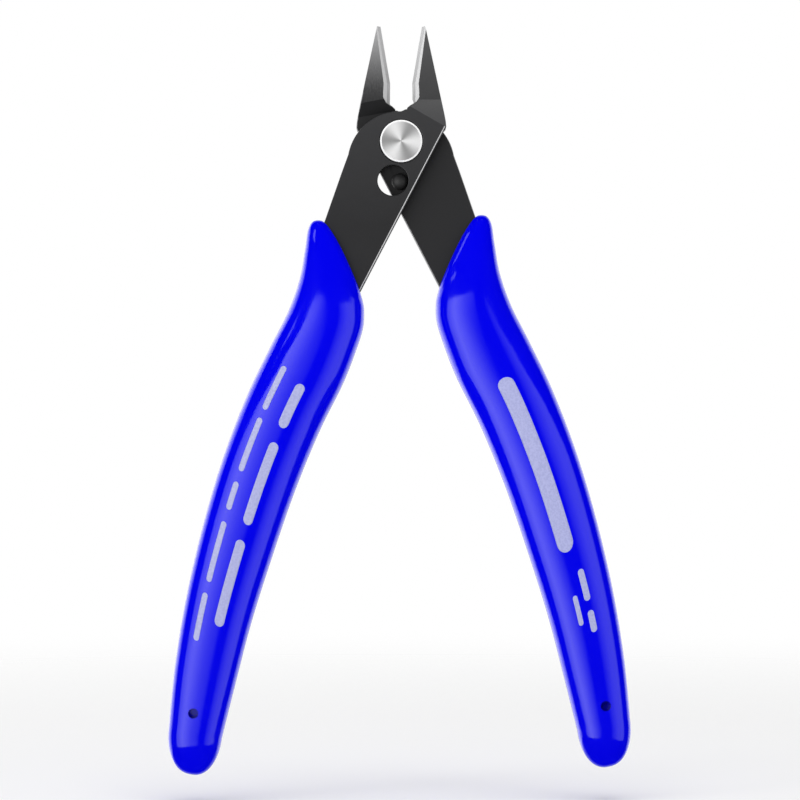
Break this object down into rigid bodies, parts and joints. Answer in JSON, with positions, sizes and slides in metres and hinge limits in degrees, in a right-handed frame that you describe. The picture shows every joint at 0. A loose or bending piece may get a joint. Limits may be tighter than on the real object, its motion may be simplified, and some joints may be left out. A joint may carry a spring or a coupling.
{
  "type": "flush cutter",
  "caption": "Hand flush cutter with pivoted black steel plate levers, ground cutting edges, turned pivot and moulded plastic grips.",
  "frame": {"origin": "on the pivot axis at the back face of the pivot nut", "axes": "+Z from the pivot to the jaw tips, +X to the right seen from the front, +Y out of the back, along the pivot axis; the front faces -Y"},
  "size_m": [0.0776, 0.0121, 0.1255],
  "materials": {
    "black_steel": "black oxide, satin, with bright ground cutting edges",
    "turned_steel": "turned and chamfered",
    "spring_steel": "drawn wire",
    "blue_grip": "glossy moulded plastic"
  },
  "bodies": {
    "front_half": {"front_lever": "black_steel", "left_grip": "blue_grip", "pivot_bolt": "turned_steel", "pivot_nut": "turned_steel", "return_spring": "spring_steel"},
    "rear_half": {"rear_lever": "black_steel", "right_grip": "blue_grip", "stop_pin": "black_steel"}
  },
  "joints": [
    {"name": "pivot", "type": "hinge", "parent": "front_half", "child": "rear_half", "pos_m": [0, 0, 0], "axis": [0, 1, 0], "range_deg": [0, 20], "stiffness_Nm_per_rad": 0.0085, "springref_deg": -89.95, "deforming": ["return_spring"]}
  ]
}
